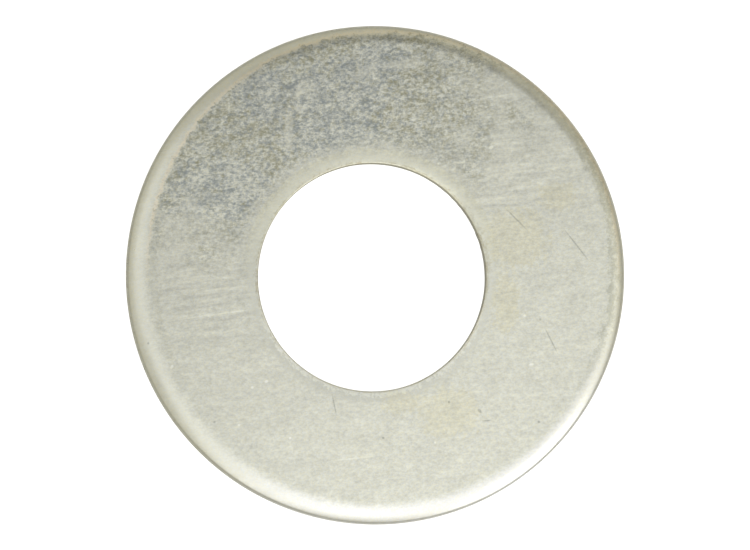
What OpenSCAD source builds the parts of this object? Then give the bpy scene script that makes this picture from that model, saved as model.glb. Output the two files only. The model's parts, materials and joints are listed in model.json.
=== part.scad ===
// Flat washer, stamped from sheet steel. Millimetres.
//
// The bore's axis is Z, and the bottom face lies on z = 0. One stroke of the press blanks the rim
// and pierces the bore from the same side, so both edges are drawn down at the top face and break
// away towards the bottom one.

/* [Washer] */
// Diameter over the rim
outer_d = 15.875; // [15.75:0.005:16.25]
// Diameter of the bore, at its smooth land
bore_d = 7.24; // [7.01:0.01:7.52]
// Thickness of the sheet
thickness = 1.65; // [1.3:0.01:2.03]
// Run-out of the rim from the bore's axis, along X
runout_x = 0.12; // [-0.15:0.01:0.15]
// Run-out of the rim from the bore's axis, along Y
runout_y = 0.08; // [-0.15:0.01:0.15]

/* [Drawn edges, as shares of the thickness] */
// Width of the rim's drawn-down edge
rim_roll_w = 0.4; // [0.3:0.01:0.5]
// Depth of the rim's drawn-down edge
rim_roll_drop = 0.17; // [0.14:0.01:0.22]
// Radius where the rim's drawn-down edge turns into its wall
rim_shoulder = 0.1; // [0.06:0.01:0.11]
// Width of the bore's drawn-down edge
bore_roll_w = 0.28; // [0.22:0.01:0.34]
// Depth of the bore's drawn-down edge
bore_roll_drop = 0.045; // [0.04:0.005:0.09]
// Radius where the bore's drawn-down edge turns into its wall
bore_shoulder = 0.03; // [0.02:0.005:0.03]

/* [Walls, as shares of the thickness] */
// Height of the smooth land that the tool leaves below a drawn-down edge
land = 0.35; // [0.2:0.01:0.5]
// How far a wall leans back below its land, where the steel tore
lean = 0.035; // [0.01:0.005:0.06]
// Size of the bevel left where the burr was tumbled off
bevel = 0.03; // [0.01:0.005:0.05]

/* [Hidden] */
$fn = 128;

rim_r = outer_d / 2;
bore_r = bore_d / 2;
lean_t = lean * thickness;
bevel_t = bevel * thickness;
past = 1; // how far a cut runs past the faces

// Height at which a wall's land ends and its lean begins
function land_end(drop) = (1 - drop - land) * thickness;

// What a drawn-down edge lacks of a square corner at the origin, whose face runs along -X and
// whose wall runs down -Y. A crown arc leaves the face, and a tighter shoulder arc turns into the
// wall. Each is tangent to the next.
module drawn_corner(width, drop, shoulder_r) {
    crown_r = ((width - shoulder_r) ^ 2 + drop ^ 2 - shoulder_r ^ 2) / (2 * (drop - shoulder_r));
    crown = [-width, -crown_r];
    shoulder = [-shoulder_r, -drop];
    to_shoulder = (shoulder - crown) / norm(shoulder - crown);
    difference() {
        translate([-width, -drop]) square([width + past, drop + past]);
        intersection() {
            translate(crown) circle(r = crown_r);
            polygon([crown, crown + [0, 2 * crown_r], crown + 2 * crown_r * to_shoulder]);
        }
        translate(shoulder) circle(r = shoulder_r);
    }
}

// The blank: a solid disc with the rim's edge drawn down, turned about the rim's own centre
module blank() {
    translate([runout_x, runout_y]) rotate_extrude() difference() {
        polygon([
            [0, 0],
            [rim_r - lean_t - bevel_t, 0],
            [rim_r - lean_t, bevel_t],
            [rim_r, land_end(rim_roll_drop)],
            [rim_r, thickness],
            [0, thickness],
        ]);
        translate([rim_r, thickness]) drawn_corner(
            rim_roll_w * thickness, rim_roll_drop * thickness, rim_shoulder * thickness);
    }
}

// What the punch takes out, with the bore's drawn-down edge around its mouth
module pierced() {
    rotate_extrude() {
        polygon([
            [0, -past],
            [bore_r + lean_t + bevel_t + past, -past],
            [bore_r + lean_t, bevel_t],
            [bore_r, land_end(bore_roll_drop)],
            [bore_r, thickness + past],
            [0, thickness + past],
        ]);
        translate([bore_r, thickness]) mirror([1, 0]) drawn_corner(
            bore_roll_w * thickness, bore_roll_drop * thickness, bore_shoulder * thickness);
    }
}

module washer() {
    color([0.77, 0.76, 0.73]) difference() {
        blank();
        pierced();
    }
}

washer();
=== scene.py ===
"""Flat washer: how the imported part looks.

The washer is one stamping in zinc-plated sheet steel. This script lathes it again as a fine mesh,
with the marks of the press and of handling, gives it a procedural plating, and sets a pale floor,
soft lights and a camera that looks down on the face.
"""
import json
import math

import bpy
import numpy as np
from mathutils import Matrix, Vector


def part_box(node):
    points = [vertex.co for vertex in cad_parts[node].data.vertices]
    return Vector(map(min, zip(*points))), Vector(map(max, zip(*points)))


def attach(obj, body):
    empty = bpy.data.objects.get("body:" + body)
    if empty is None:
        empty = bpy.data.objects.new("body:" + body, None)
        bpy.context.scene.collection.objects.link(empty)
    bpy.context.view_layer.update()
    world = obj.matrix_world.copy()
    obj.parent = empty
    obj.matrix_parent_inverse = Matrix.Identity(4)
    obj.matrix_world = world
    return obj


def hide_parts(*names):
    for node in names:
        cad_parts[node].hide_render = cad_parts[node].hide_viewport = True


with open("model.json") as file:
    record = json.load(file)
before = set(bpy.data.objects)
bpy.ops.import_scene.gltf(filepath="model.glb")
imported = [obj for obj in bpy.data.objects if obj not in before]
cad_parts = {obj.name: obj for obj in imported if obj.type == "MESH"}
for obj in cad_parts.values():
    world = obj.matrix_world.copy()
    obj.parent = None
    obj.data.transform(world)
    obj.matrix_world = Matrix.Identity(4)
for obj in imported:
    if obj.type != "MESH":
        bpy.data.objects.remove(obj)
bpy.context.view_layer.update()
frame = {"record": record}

MM = 0.001

# ---------------------------------------------------------------- sizes, from the frame
BOTTOM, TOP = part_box("washer")
THICK = TOP.z - BOTTOM.z
RIM_R = (TOP.x - BOTTOM.x) / 2
RIM_CENTRE = np.array(((TOP.x + BOTTOM.x) / 2, (TOP.y + BOTTOM.y) / 2))
TOP_CENTRE = Vector((*RIM_CENTRE, TOP.z))
BORE = next(m for m in frame["record"]["mounts"] if m["name"] == "bore")
BORE_R = BORE["dims"]["r_mm"] * MM
BORE_CENTRE = np.array(BORE["pos_m"][:2])

# The sheared edges, as shares of the thickness, as the part has them
RIM_EDGE = {"width": 0.40, "drop": 0.17, "shoulder": 0.10}
BORE_EDGE = {"width": 0.28, "drop": 0.045, "shoulder": 0.03}
LAND = 0.35  # height of the smooth land below a drawn-down edge
LEAN = 0.035  # how far a wall leans back below its land
BEVEL = 0.03  # size of the bevel at the bottom face

# How a real stamping strays from the even part
RIM_UNEVEN = 0.22  # how much wider than its mean the rim's roll is on its wide side
WIDE_SIDE = math.radians(220)  # where the rim's roll is widest
ROLL_WANDER = 0.05  # how far a roll's width wanders, as a share of it
LAND_WANDER = 0.05 * MM  # how far the line where a land ends wanders
BEVEL_WANDER = 0.35  # how far the bevel's size wanders, as a share of it
TORN_RELIEF = 0.022 * MM  # depth of the torn part's roughness

# ---------------------------------------------------------------- the mesh
AROUND = 512  # points round each ring
ANGLES = np.linspace(0, 2 * math.pi, AROUND, endpoint=False)
SPOKES = np.stack((np.cos(ANGLES), np.sin(ANGLES)), axis=1)
TOP_ROWS = 50
UNDER_ROWS = 30


def wave(seed, lowest, highest):
    """A slow variation round the washer, from -1 to 1, made of a few whole waves."""
    rng = np.random.default_rng(seed)
    total = np.zeros(AROUND)
    for n in range(lowest, highest + 1):
        total += rng.normal() / n * np.cos(n * ANGLES + rng.uniform(0, 2 * math.pi))
    return total / np.abs(total).max()


def grain(seed, rows, around, along):
    """Random relief from 0 to 1 over rows of points, smoothed by that many points each way."""
    rng = np.random.default_rng(seed)
    spectrum = np.fft.fft2(rng.normal(size=(rows, AROUND)))
    f_along = np.fft.fftfreq(rows)[:, None]
    f_around = np.fft.fftfreq(AROUND)[None, :]
    keep = np.exp(-2 * math.pi ** 2 * ((f_along * along) ** 2 + (f_around * around) ** 2))
    relief = np.real(np.fft.ifft2(spectrum * keep))
    return np.clip(0.5 + relief / (4 * relief.std()), 0, 1)


def steps(count):
    """That many even steps as a column, up to 1 and without the 0 that they start from."""
    return np.linspace(0, 1, count + 1)[1:, None]


def drawn_edge(edge, crown_rows, shoulder_rows):
    """(inset from the wall, depth below the face) down a drawn-down edge, in metres: a crown arc
    that leaves the face, then a tighter shoulder arc that turns into the wall."""
    width, drop, shoulder = (edge[k] * THICK for k in ("width", "drop", "shoulder"))
    crown = ((width - shoulder) ** 2 + drop ** 2 - shoulder ** 2) / (2 * (drop - shoulder))
    turn = math.asin((width - shoulder) / (crown - shoulder))
    a = np.linspace(0, turn, crown_rows)
    b = np.linspace(turn, math.pi / 2, shoulder_rows + 1)[1:]
    inset = np.concatenate((width - crown * np.sin(a), shoulder * (1 - np.sin(b))))
    depth = np.concatenate((crown * (1 - np.cos(a)), drop - shoulder * np.cos(b)))
    return inset, depth


def wall(edge, seed, land_rows, torn_rows, bevel_rows):
    """(inset, height, torn) arrays of rows by angles, down a sheared wall: the smooth land, the
    torn part that leans back, and the bevel where the burr was tumbled off."""
    land_end = (1 - edge["drop"] - LAND) * THICK + LAND_WANDER * wave(seed, 3, 40)
    bevel = BEVEL * THICK * (1 + BEVEL_WANDER * wave(seed + 1, 2, 30))

    s = steps(land_rows)
    land_z = (1 - edge["drop"]) * THICK * (1 - s) + land_end * s
    land_in = np.zeros_like(land_z)

    s = steps(torn_rows)
    torn_z = land_end * (1 - s) + bevel * s
    fade = np.minimum(1, 6 * s * (1.15 - s))  # to nothing at the land, and a little at the bevel
    torn_in = LEAN * THICK * s + TORN_RELIEF * fade * grain(seed + 2, torn_rows, 1.2, 0.8)

    s = steps(bevel_rows)
    bevel_z = bevel * (1 - s)
    bevel_in = torn_in[-1] + bevel * s

    inset = np.concatenate((land_in, torn_in, bevel_in))
    z = np.concatenate((land_z, torn_z, bevel_z))
    torn = np.repeat((0.0, 1.0, 0.4), (land_rows, torn_rows, bevel_rows))
    return inset, z, torn


def sheared_side(centre, radius, outward, edge, uneven, seed, edge_rows, wall_rows):
    """Points and marks down one side of the washer, from its top face to its bottom face.
    outward is 1 at the rim and -1 at the bore. uneven is how much wider than its mean the drawn
    edge is on the side where the die stood further off, and narrower on the other."""
    inset, depth = drawn_edge(edge, *edge_rows)
    drawn = np.linspace(0, 1, len(inset))
    swell = 1 + uneven * np.cos(ANGLES - WIDE_SIDE) + ROLL_WANDER * wave(seed + 5, 2, 6)
    edge_in = inset[:, None] * swell
    edge_z = THICK - depth[:, None] * np.ones(AROUND)
    wall_in, wall_z, torn = wall(edge, seed, *wall_rows)
    ins = np.concatenate((edge_in, wall_in))
    z = np.concatenate((edge_z, wall_z))
    reach = radius - outward * ins
    xy = centre + reach[..., None] * SPOKES
    marks = {
        "drawn": np.concatenate((drawn, np.ones(len(torn)))),
        "bore": np.full(len(ins), float(outward < 0)),
        "torn": np.concatenate((np.zeros(len(drawn)), torn)),
    }
    return np.concatenate((xy, z[..., None]), axis=2), marks


def face_rows(start, end, count):
    """Rows of points across a face, between the row that starts it and the row that ends it."""
    s = np.linspace(0, 1, count + 2)[1:-1, None, None]
    return start * (1 - s) + end * s


def ring_quads(count):
    """The quads between each of count rows of points and the next, and from the last to the
    first."""
    ring = np.arange(AROUND)
    following = np.roll(ring, -1)
    quads = []
    for i in range(count):
        here, there = i * AROUND, (i + 1) % count * AROUND
        quads.append(np.stack((here + ring, there + ring, there + following, here + following), 1))
    return np.concatenate(quads)


def washer_mesh():
    """The whole surface, with three marks at each point: drawn, 0 on the faces and rising down a
    drawn-down edge to 1 on its wall; bore, 1 on the bore's side; and torn, 1 where the steel tore
    and less on the bevel."""
    rim, rim_marks = sheared_side(
        RIM_CENTRE, RIM_R, 1, RIM_EDGE, RIM_UNEVEN, 11, edge_rows=(18, 10), wall_rows=(7, 18, 3))
    bore, bore_marks = sheared_side(
        BORE_CENTRE, BORE_R, -1, BORE_EDGE, 0.0, 29, edge_rows=(14, 9), wall_rows=(7, 16, 3))
    top = face_rows(bore[0], rim[0], TOP_ROWS)
    under = face_rows(rim[-1], bore[-1], UNDER_ROWS)
    rows = np.concatenate((top, rim, under, bore[::-1]))

    mesh = bpy.data.meshes.new("stamped_washer")
    mesh.from_pydata(rows.reshape(-1, 3).tolist(), [], ring_quads(len(rows)).tolist())
    for name in rim_marks:
        by_row = np.concatenate((np.zeros(TOP_ROWS), rim_marks[name], np.zeros(UNDER_ROWS),
                                 bore_marks[name][::-1]))
        layer = mesh.attributes.new(name, "FLOAT", "POINT")
        layer.data.foreach_set("value", np.repeat(by_row, AROUND).astype(np.float32))
    mesh.shade_smooth()
    mesh.validate()
    return mesh


# ---------------------------------------------------------------- node trees
def colour(r, g, b):
    return (r, g, b, 1.0)


WHITE = colour(1, 1, 1)


class Graph:
    """A node tree, with one call for each kind of node that the surfaces use."""

    def __init__(self, owner):
        owner.use_nodes = True
        self.tree = owner.node_tree
        self.tree.nodes.clear()

    def put(self, value, socket):
        """Link or set one input."""
        if isinstance(value, bpy.types.NodeSocket):
            self.tree.links.new(value, socket)
        else:
            socket.default_value = value

    def node(self, kind, inputs=None, **settings):
        made = self.tree.nodes.new(kind)
        for name, value in settings.items():
            setattr(made, name, value)
        for name, value in (inputs or {}).items():
            self.put(value, made.inputs[name])
        return made

    def math(self, operation, a, b=0.0, clamp=False):
        return self.node("ShaderNodeMath", {0: a, 1: b}, operation=operation,
                         use_clamp=clamp).outputs[0]

    def fold(self, operation, values):
        total = values[0]
        for value in values[1:]:
            total = self.math(operation, total, value)
        return total

    def add(self, *values):
        return self.fold("ADD", values)

    def times(self, *values):
        return self.fold("MULTIPLY", values)

    def most(self, masks):
        """The largest of several masks, point by point."""
        return self.fold("MAXIMUM", masks)

    def less(self, a, b):
        return self.math("SUBTRACT", a, b)

    def noise(self, where, scale, detail=2.0, roughness=0.5):
        return self.node("ShaderNodeTexNoise", {
            "Vector": where, "Scale": scale, "Detail": detail, "Roughness": roughness,
        }).outputs["Fac"]

    def centred(self, noise, gain):
        """A noise as a swing about zero."""
        return self.times(self.less(noise, 0.5), gain)

    def ramp(self, value, low, high, to_low=0.0, to_high=1.0):
        """value's run from low to high, eased and kept within the two results."""
        return self.node("ShaderNodeMapRange", {
            "Value": value, "From Min": low, "From Max": high, "To Min": to_low,
            "To Max": to_high,
        }, interpolation_type="SMOOTHSTEP").outputs[0]

    def band(self, value, middle, half_width):
        """1 where value is at the middle of a band, eased to 0 at its two edges."""
        return self.ramp(self.math("ABSOLUTE", self.less(value, middle)), half_width, 0.0)

    def mix(self, share, a, b, blend="MIX", clamp=False):
        made = self.node("ShaderNodeMix", data_type="RGBA", blend_type=blend, clamp_result=clamp)
        for value, socket in zip((share, a, b), (made.inputs[0], made.inputs[6], made.inputs[7])):
            self.put(value, socket)
        return made.outputs[2]

    def tinted(self, base, share, tint):
        """base, multiplied by a tint where share is 1."""
        return self.mix(share, base, tint, "MULTIPLY")

    def mapping(self, vector, turn=0.0, scale=(1, 1, 1)):
        return self.node("ShaderNodeMapping", {
            "Vector": vector, "Rotation": (0, 0, turn), "Scale": scale,
        }).outputs[0]

    def mark(self, name):
        return self.node("ShaderNodeAttribute", attribute_name=name,
                         attribute_type="GEOMETRY").outputs["Fac"]


# ---------------------------------------------------------------- marks on the top face
# Everything in this part is in millimetres, and degrees are from +X.
THIN = 0.035  # half the width of a scratch
# Scratches that look dark, and others that look pale: x, y, half length, half width and degrees
DARK_SCRATCHES = (
    (6.5, 1.05, 0.85, THIN, -52),
    (4.6, 1.85, 0.60, THIN, -45),
    (5.7, -2.0, 0.55, THIN, -63),
    (-1.2, -4.05, 0.45, THIN, -78),
    (3.65, -4.55, 0.22, THIN, 5),
)
PALE_SCRATCHES = (
    (-5.1, -1.20, 1.50, THIN, 8),
    (-0.6, -5.75, 0.80, THIN, 6),
    (3.9, 5.75, 0.90, THIN, 10),
    (1.9, 5.1, 1.10, THIN, 9),
    (-5.0, 1.9, 0.80, THIN, 7),
)
# Small dents, given only in colour, painted as shade in some and as glints in others: x, y, half
# length, half width and degrees
DENT_SHADES = (
    (3.42, -4.24, 0.11, 0.06, -50),
    (2.45, -3.96, 0.055, 0.05, 0),
    (5.31, -4.59, 0.055, 0.05, 0),
    (0.36, -5.10, 0.05, 0.05, 0),
    (-5.0, -4.60, 0.05, 0.05, 0),
    (-7.1, -2.10, 0.05, 0.05, 0),
)
DENT_GLINTS = (
    (4.86, -1.21, 0.06, 0.05, 0),
    (5.07, -2.76, 0.11, 0.05, 10),
    (-3.35, -3.30, 0.08, 0.06, 30),
    (-3.80, -3.50, 0.06, 0.05, 0),
    (-6.35, -2.85, 0.09, 0.06, 60),
    (-2.60, -5.10, 0.05, 0.05, 0),
    (3.80, 4.15, 0.09, 0.06, 20),
    (0.10, 6.35, 0.12, 0.06, -35),
)
# The tarnish's ellipse: x, y and half sizes
TARNISHED = (-3.0, 5.75, 9.8, 6.8)
# Radii with no tarnish and full tarnish: about the bore's axis, then about ROLL_AXIS
TARNISH_NEAR_BORE = (4.0, 4.6)
TARNISH_NEAR_ROLL = (7.48, 7.36)
# Streaks where the tarnish is wiped thin: x, y, half length, half width and degrees
WIPED_STREAKS = (
    (-0.3, 6.5, 0.6, 0.20, 30),
    (1.0, 6.8, 1.0, 0.18, 5),
    (-2.25, 6.0, 0.5, 0.16, 58),
    (-2.65, 4.6, 0.9, 0.20, 88),
    (4.1, 4.8, 1.5, 0.30, 90),
)
# Patches where the tarnish is blue: x, y and half sizes
BLUE_PATCHES = (
    (0.2, 6.9, 1.3, 0.9),
    (-3.5, 5.8, 1.1, 1.1),
    (-1.9, 5.9, 1.2, 1.0),
    (-0.5, 6.1, 1.3, 1.4),
    (-1.2, 4.5, 2.2, 1.3),
    (-4.8, 2.8, 2.0, 1.4),
)
# Patches where the plating has a warm tint: x, y and half sizes
WARM_PATCHES = (
    (4.6, 1.25, 1.3, 1.3),
    (4.25, -0.8, 0.6, 1.3),
    (2.45, -4.3, 1.3, 1.1),
    (0.9, -4.0, 0.8, 0.5),
    (5.9, 2.6, 0.9, 0.6),
)
# Patches where the rolling lines stand out: x, y and half sizes
LINED_PATCHES = (
    (4.2, 4.0, 3.4, 3.0),
    (-5.1, -0.4, 2.2, 2.0),
)
# The part of the bore's lip that is rubbed, and brightened with a painted highlight: x, y and half
# sizes
RUBBED_LIP_HIGHLIGHT = (2.1, 3.0, 1.3, 1.3)

ROLLING = math.radians(-7)  # the turn that brings the rolling lines on to X
# The middle of the circle where the rubbed part of the rim's roll begins. It is off the rim's own
# middle, because the roll is wide on one side.
ROLL_AXIS = (0.37, 0.33)
DUST_AND_SHADE_RING = 7.34  # radius about ROLL_AXIS of the darker ring at the end of the tarnish, of dust and painted shade
TAN_HIGHLIGHT_LINE = 7.50  # radius about ROLL_AXIS of the warm painted highlight line, where the rubbed part begins
LIP_LINE = BORE_R / MM + 0.06  # radius of the nicked line on the bore's lip

# ---------------------------------------------------------------- the plating
CLEAN_ZINC = colour(0.80, 0.805, 0.73)
WARM_ZINC = colour(0.80, 0.79, 0.67)
OLIVE_STAIN = colour(0.60, 0.58, 0.46)
BLUE_STAIN = colour(0.54, 0.585, 0.665)
# grime in the edges' last turns and on their walls, with painted shade
TURN_DIRT_AND_SHADE = colour(0.45, 0.42, 0.34)
TORN_STEEL = colour(0.36, 0.35, 0.31)


def spot(g, mm, x, y, half_length, half_width, degrees=0.0):
    """A patch of the top face that fades from 1 at (x, y) to 0 at the edge of an ellipse."""
    within = g.node("ShaderNodeMapping", {
        "Vector": mm, "Location": (x, y, THICK / MM), "Rotation": (0, 0, math.radians(degrees)),
        "Scale": (half_length, half_width, 1.0),
    }, vector_type="TEXTURE").outputs[0]
    return g.node("ShaderNodeTexGradient", {"Vector": within},
                  gradient_type="SPHERICAL").outputs["Fac"]


def spots(g, mm, places):
    """The largest of the patches at several places."""
    return g.most([spot(g, mm, *place) for place in places])


def specks(g, mm, per_mm, share, radius, seed):
    """Small dots, one in some cells of a grid with per_mm cells to the millimetre."""
    moved = g.node("ShaderNodeMapping", {"Vector": mm, "Location": (seed, seed, 0)}).outputs[0]
    cells = g.node("ShaderNodeTexVoronoi", {"Vector": moved, "Scale": per_mm}).outputs
    near = g.ramp(cells["Distance"], radius * per_mm, 0.4 * radius * per_mm)
    lot = g.node("ShaderNodeSeparateColor", {"Color": cells["Color"]}).outputs[0]
    return g.times(near, g.math("LESS_THAN", lot, share))


def radius_about(g, mm, x, y):
    """The distance from the upright axis through (x, y)."""
    return g.node("ShaderNodeVectorMath", {0: g.mapping(mm, scale=(1, 1, 0)), 1: (x, y, 0.0)},
                  operation="DISTANCE").outputs["Value"]


class Surface:
    """What the plating's colour is made from: the place in millimetres, the mesh's marks, and
    noises that change from place to place."""

    def __init__(self, g):
        place = g.node("ShaderNodeTexCoord").outputs["Object"]
        self.mm = g.mapping(place, scale=(1000, 1000, 1000))
        self.east, self.north, _ = g.node("ShaderNodeSeparateXYZ", {"Vector": self.mm}).outputs
        self.from_bore = radius_about(g, self.mm, 0.0, 0.0)
        self.from_roll_axis = radius_about(g, self.mm, *ROLL_AXIS)
        self.drawn, self.bore, self.torn = (g.mark(name) for name in ("drawn", "bore", "torn"))

        # long rolling lines, then fine grains and looser clumps, both a little longer along them
        along = g.mapping(self.mm, turn=ROLLING)
        self.lines = g.noise(g.mapping(along, scale=(0.6, 6.3, 1.0)), 1.0, 2.0, 0.7)
        self.fine = g.noise(g.mapping(along, scale=(0.8, 1.2, 1.0)), 8.0, 2.0, 0.95)
        self.clumps = g.noise(g.mapping(along, scale=(0.85, 1.2, 1.0)), 1.6, 2.0, 0.9)
        # small changes of hue, and a swing in millimetres that frays the edges of what lies there
        self.hues = g.noise(self.mm, 5.0, 2.0, 0.9)
        self.ragged = g.centred(g.noise(self.mm, 4.0, 3.0, 0.8), 0.9)


def tarnish_amount(g, at):
    """How far the plating has dulled, 0 to 1: most at the upper left of the face, wiped thin along
    a few streaks, and none on the drawn edges, where the plating is rubbed clean."""
    drift = g.centred(g.noise(at.mm, 0.7, 4.0, 0.75), 0.9)
    amount = g.ramp(g.add(spot(g, at.mm, *TARNISHED), drift), 0.12, 0.52)
    wiped = g.ramp(spots(g, at.mm, WIPED_STREAKS), 0.0, 0.6, 1.0, 0.4)
    bore_side = g.ramp(g.add(at.from_bore, at.ragged), *TARNISH_NEAR_BORE)
    rim_side = g.ramp(g.add(at.from_roll_axis, at.ragged), *TARNISH_NEAR_ROLL)
    return g.times(amount, wiped, bore_side, rim_side)


def tarnish_colour(g, at):
    """The mottled tarnish, as a tint: small dark grains, some blue-grey and some olive."""
    blue = g.ramp(spots(g, at.mm, BLUE_PATCHES), 0.0, 0.6)
    clumped = g.times(g.centred(at.clumps, -1.0), g.ramp(blue, 0.0, 1.0, 0.75, 1.5))
    grains = g.math("ADD", g.add(g.centred(at.fine, -3.2), clumped), 0.50, clamp=True)
    hue = g.add(at.hues, g.times(blue, 0.14))
    stain = g.mix(g.ramp(hue, 0.38, 0.66), OLIVE_STAIN, BLUE_STAIN)
    return g.mix(g.times(grains, tarnish_amount(g, at)), WHITE, stain)


def zinc_colour(g, at):
    """The clean plating, with its warm patches and a faint speckle of warm and cool."""
    warm = g.times(spots(g, at.mm, WARM_PATCHES), 2.0)
    warm = g.ramp(g.add(warm, g.centred(at.hues, 3.0)), 0.3, 0.9)
    base = g.mix(warm, CLEAN_ZINC, WARM_ZINC)
    speckle = g.ramp(g.noise(at.mm, 22.0, 1.0), 0.3, 0.7)
    speckle = g.mix(speckle, colour(1.012, 0.995, 0.95), colour(0.988, 1.0, 1.05))
    return g.tinted(base, 1.0, speckle)


def grain_shade(g, at):
    """Grain, rolling lines, scratches, specks, and the dents' painted shade and painted glints, as
    a grey to multiply by.
    """
    lined = g.ramp(spots(g, at.mm, LINED_PATCHES), 0.0, 0.5, 0.12, 0.50)
    swing = g.add(g.centred(at.fine, 0.62), g.centred(at.clumps, 0.26),
                  g.times(g.centred(at.lines, 1.0), lined))
    on_face = g.ramp(at.drawn, 0.4, 0.0, 0.35, 1.0)
    shade = g.add(g.times(swing, on_face), 1.0)
    for places, solid, strength in (
        (DARK_SCRATCHES, 0.7, -0.28),
        (PALE_SCRATCHES, 0.5, 0.12),
        # the dents: painted shade, then painted glints
        (DENT_SHADES, 0.6, -0.30),
        (DENT_GLINTS, 0.6, 0.30),
    ):
        shade = g.add(shade, g.times(g.ramp(spots(g, at.mm, places), 0.0, solid), strength))
    shade = g.add(shade, g.times(specks(g, at.mm, 1.6, 0.25, 0.05, 3.0), 0.20))
    shade = g.add(shade, g.times(specks(g, at.mm, 0.9, 0.12, 0.05, 8.0), -0.22))
    grey = g.node("ShaderNodeCombineColor", {"Red": shade, "Green": shade, "Blue": shade})
    return grey.outputs[0]


def roll_start(g, at, base, upper):
    """A darker ring of dust and painted shade at the end of the tarnish, and a warm painted
    highlight line where the rubbed roll begins.
    """
    # dust, and painted shade on the upper side of the roll
    dust_and_shade = g.times(
        g.band(g.add(at.from_roll_axis, at.ragged), DUST_AND_SHADE_RING, 0.20),
        g.ramp(at.north, -5.0, -1.0),
        g.ramp(at.north, 7.0, 3.0, 0.4, 1.0),
        g.ramp(at.east, -4.0, 3.0, 0.35, 1.0),
    )
    base = g.tinted(base, dust_and_shade, colour(0.79, 0.79, 0.76))
    # a warm painted highlight, on the roll's upper half only
    tan_highlight = g.band(g.add(at.from_roll_axis, g.times(at.ragged, 0.3)), TAN_HIGHLIGHT_LINE, 0.10)
    return g.tinted(base, g.times(tan_highlight, upper), colour(1.15, 1.08, 1.00))


def bore_edge(g, at, base, upper):
    """The bore's roll, cream in its upper half, with a broken dark line, nick glints painted as
    bright specks, and a tight turn that is darker above, with grime and painted shade, and has a
    painted highlight below and at
    RUBBED_LIP_HIGHLIGHT, where the lip is also rubbed."""
    base = g.tinted(base, g.times(at.bore, upper, 0.8), colour(1.0, 0.99, 0.93))

    broken = g.ramp(g.noise(at.mm, 2.2, 3.0, 0.8), 0.42, 0.58)
    lip_line = g.times(
        g.band(g.add(at.from_bore, g.times(at.ragged, 0.25)), LIP_LINE, 0.055),
        broken,
        g.ramp(at.north, -3.4, -1.8, 0.2, 1.0),
    )
    base = g.tinted(base, lip_line, colour(0.80, 0.77, 0.70))
    # nick glints: bright specks painted along the lip
    nick_glints = g.times(specks(g, at.mm, 3.0, 0.30, 0.06, 5.0), g.band(at.from_bore, LIP_LINE, 0.09))
    base = g.tinted(base, nick_glints, colour(1.3, 1.3, 1.35))

    turn = g.times(at.bore, g.ramp(g.add(at.drawn, g.centred(at.hues, 0.8)), 0.35, 0.60))
    rubbed_lip_highlight = g.ramp(spot(g, at.mm, *RUBBED_LIP_HIGHLIGHT), 0.0, 0.4, 0.0, 0.65)
    # grime and painted shade above; the rest of the turn gets a painted highlight
    turn_grime_and_shade = g.times(g.ramp(at.north, -2.4, 0.0), g.less(1.0, rubbed_lip_highlight))
    rubbed = g.less(1.0, turn_grime_and_shade)
    turn_grime_and_shade = g.times(turn_grime_and_shade, g.ramp(at.east, 0.0, 3.0, 0.5, 1.0))
    base = g.tinted(base, g.times(turn, turn_grime_and_shade), colour(0.84, 0.83, 0.80))
    # the painted highlight on the lower turn and at the rubbed lip
    return g.tinted(base, g.times(turn, rubbed), colour(1.28, 1.28, 1.28))


def rim_edge(g, at, base):
    """The rim's roll, a little brighter all round from its burnish, and brighter and bluer at the
    lower right as a painted highlight; and grime with painted shade in each edge's last turn and
    on its wall, least at the lower right."""
    towards = g.less(g.times(at.east, 0.3), g.times(at.north, 0.95))
    lower_right = g.ramp(towards, 3.0, 7.0)
    on_roll = g.times(g.ramp(at.drawn, 0.0, 0.3), g.less(1.0, at.bore))
    # burnish, with a painted highlight that is strongest and bluest at the lower right
    burnish_and_highlight = g.mix(lower_right, colour(1.04, 1.04, 1.04), colour(1.10, 1.10, 1.20))
    base = g.tinted(base, on_roll, burnish_and_highlight)
    # grime and painted shade in the last turn and on the wall, less at the lower right where the
    # light falls
    last_turn = g.ramp(g.add(at.drawn, g.centred(at.hues, 0.5)), 0.75, 1.0)
    wall_grime_and_shade = g.less(0.6, g.times(lower_right, 0.45))
    return g.mix(g.times(last_turn, wall_grime_and_shade), base, TURN_DIRT_AND_SHADE)


def zinc_plate():
    material = bpy.data.materials.new("zinc_plate")
    g = Graph(material)
    at = Surface(g)

    upper = g.ramp(at.north, -1.0, 2.5)
    base = g.tinted(zinc_colour(g, at), 1.0, tarnish_colour(g, at))
    base = g.tinted(base, 1.0, grain_shade(g, at))
    base = roll_start(g, at, base, upper)
    base = bore_edge(g, at, base, upper)
    base = rim_edge(g, at, base)
    base = g.mix(g.times(at.torn, 0.8), base, TORN_STEEL, clamp=True)

    # the drawn edges are smoother than the face, and the torn walls rougher
    rough = g.ramp(at.lines, 0.2, 0.8, 0.38, 0.46)
    rough = g.less(rough, g.ramp(at.drawn, 0.0, 0.5, 0.0, 0.11))
    rough = g.add(rough, g.times(at.torn, 0.2))

    height = g.add(at.lines, at.clumps, at.fine)
    bump = g.node("ShaderNodeBump", {"Height": height, "Strength": 1.0, "Distance": 1.2e-6})
    shader = g.node("ShaderNodeBsdfPrincipled", {
        "Base Color": base, "Metallic": 1.0, "Roughness": rough, "Normal": bump.outputs[0],
    })
    g.node("ShaderNodeOutputMaterial", {"Surface": shader.outputs[0]})
    return material


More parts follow.
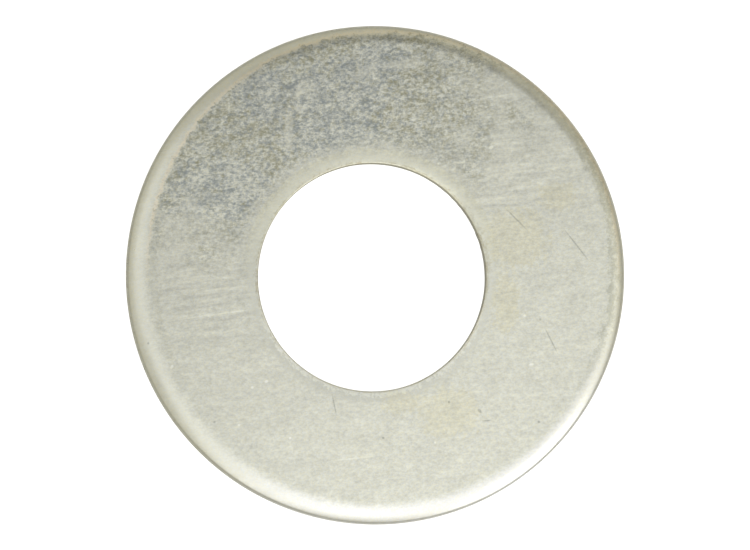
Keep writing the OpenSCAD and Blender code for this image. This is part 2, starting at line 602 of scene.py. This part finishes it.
# ---------------------------------------------------------------- the set
FLOOR_HALF = 4.0  # metres from the middle of the floor to its edges
FLOOR_GAP = 0.01 * MM  # keeps the floor clear of the bottom face
ROOM_OVERHEAD = colour(0.19, 0.195, 0.19)
ROOM_SIDES = colour(0.54, 0.52, 0.43)
ROOM_LOW = colour(0.36, 0.35, 0.29)
LAMP_TONE = (1.0, 1.0, 0.97)
CAMERA_DISTANCE = 0.200
CAMERA_AIM = Vector((-0.028, -0.005, 0)) * MM  # from the middle of the top face
WIDTH_SEEN = 23.825 * MM
SENSOR_WIDTH = 36.0  # in millimetres, as Blender has it


def pale_floor():
    """A white floor that the camera sees lit from within, so that it stays white."""
    material = bpy.data.materials.new("pale_floor")
    g = Graph(material)
    seen = g.node("ShaderNodeLightPath").outputs["Is Camera Ray"]
    shader = g.node("ShaderNodeBsdfPrincipled", {
        "Base Color": colour(0.8, 0.8, 0.79), "Roughness": 0.9, "Emission Color": WHITE,
        "Emission Strength": g.times(seen, 0.9),
    })
    g.node("ShaderNodeOutputMaterial", {"Surface": shader.outputs[0]})
    return material


def build_washer():
    mesh = washer_mesh()
    mesh.materials.append(zinc_plate())
    washer = bpy.data.objects.new("stamped_washer", mesh)
    bpy.context.scene.collection.objects.link(washer)
    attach(washer, "root")
    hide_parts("washer")


def build_floor():
    mesh = bpy.data.meshes.new("floor")
    z = BOTTOM.z - FLOOR_GAP
    signs = ((-1, -1), (1, -1), (1, 1), (-1, 1))
    corners = [(x * FLOOR_HALF, y * FLOOR_HALF, z) for x, y in signs]
    mesh.from_pydata(corners, [], [(0, 1, 2, 3)])
    mesh.materials.append(pale_floor())
    floor = bpy.data.objects.new("floor", mesh)
    bpy.context.scene.collection.objects.link(floor)


def from_zenith(tilt, azimuth):
    """The direction that lies tilt degrees off straight up, towards azimuth degrees from +X."""
    t, a = math.radians(tilt), math.radians(azimuth)
    return Vector((math.sin(t) * math.cos(a), math.sin(t) * math.sin(a), math.cos(t)))


def looking_back(towards):
    """The turn of a camera or lamp that stands in this direction and looks back, with +Y up."""
    right = Vector((0, 1, 0)).cross(towards).normalized()
    return Matrix((right, towards.cross(right), towards)).transposed().to_euler()


def build_world():
    """A room that is dim overhead, brighter round that, darker again low down, and white to the
    camera."""
    world = bpy.data.worlds.new("room")
    bpy.context.scene.world = world
    g = Graph(world)
    away = g.node("ShaderNodeTexCoord").outputs["Generated"]
    up = g.node("ShaderNodeSeparateXYZ", {"Vector": away}).outputs["Z"]
    room = g.mix(g.ramp(up, 0.93, 0.76), ROOM_OVERHEAD, ROOM_SIDES)
    room = g.mix(g.ramp(up, 0.60, 0.35), room, ROOM_LOW)
    seen = g.node("ShaderNodeLightPath").outputs["Is Camera Ray"]
    back = g.node("ShaderNodeBackground", {"Color": g.mix(seen, room, WHITE), "Strength": 1.0})
    g.node("ShaderNodeOutputWorld", {"Surface": back.outputs[0]})


def softbox(name, tilt, azimuth, distance, size, radiance):
    """A square soft light that faces the washer."""
    data = bpy.data.lights.new(name, "AREA")
    data.shape = "SQUARE"
    data.size = size
    data.color = LAMP_TONE
    data.energy = radiance * math.pi * size ** 2
    light = bpy.data.objects.new(name, data)
    towards = from_zenith(tilt, azimuth)
    light.location = TOP_CENTRE + towards * distance
    light.rotation_euler = looking_back(towards)
    light.visible_camera = False
    bpy.context.scene.collection.objects.link(light)


def build_lights():
    softbox("key", 31, 327, distance=0.030, size=0.038, radiance=0.56)
    softbox("low_fill", 31, 250, distance=0.055, size=0.037, radiance=0.80)
    softbox("left_fill", 23, 165, distance=0.130, size=0.068, radiance=0.70)
    softbox("edge_light", 60, 308, distance=0.050, size=0.029, radiance=1.00)


def build_camera():
    """Almost straight above the face, a little towards the lower left, through a long lens."""
    data = bpy.data.cameras.new("camera")
    data.sensor_width = SENSOR_WIDTH
    data.lens = SENSOR_WIDTH * CAMERA_DISTANCE / WIDTH_SEEN
    data.clip_start = 0.001
    data.clip_end = 20
    camera = bpy.data.objects.new("camera", data)
    towards = from_zenith(3.0, 213)
    camera.location = TOP_CENTRE + CAMERA_AIM + towards * CAMERA_DISTANCE
    camera.rotation_euler = looking_back(towards)
    bpy.context.scene.collection.objects.link(camera)
    bpy.context.scene.camera = camera


bpy.context.scene.view_settings.view_transform = "Standard"
build_camera()
build_washer()
build_floor()
build_world()
build_lights()
